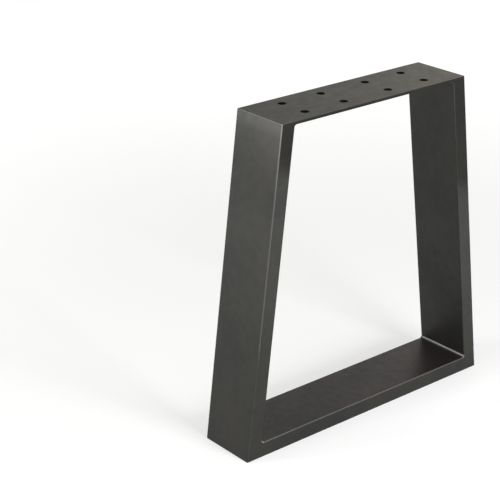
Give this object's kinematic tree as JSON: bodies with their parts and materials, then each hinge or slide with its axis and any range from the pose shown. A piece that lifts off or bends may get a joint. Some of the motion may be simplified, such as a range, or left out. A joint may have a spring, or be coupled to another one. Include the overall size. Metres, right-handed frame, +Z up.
{
  "type": "trapezoid table leg",
  "caption": "Trapezoid table or bench leg: leaning rectangular-tube posts and a floor beam, welded under a flat drilled top plate.",
  "frame": {"origin": "on the floor, under the middle of the leg: the centre of the underside of its bounding box", "axes": "+Z up to the top plate, +X along the leg's width between the two posts, +Y through the depth of the tube"},
  "size_m": [0.3998, 0.08, 0.417],
  "materials": {
    "powder_coated_steel": "satin anthracite coating over steel tube and plate",
    "coated_weld": "the same satin anthracite coating over dressed weld metal"
  },
  "bodies": {
    "root": {"top_plate": "powder_coated_steel", "left_post": "powder_coated_steel", "right_post": "powder_coated_steel", "floor_beam": "powder_coated_steel", "top_weld_left": "coated_weld", "top_weld_right": "coated_weld", "floor_weld_left": "coated_weld", "floor_weld_right": "coated_weld"}
  },
  "joints": []
}
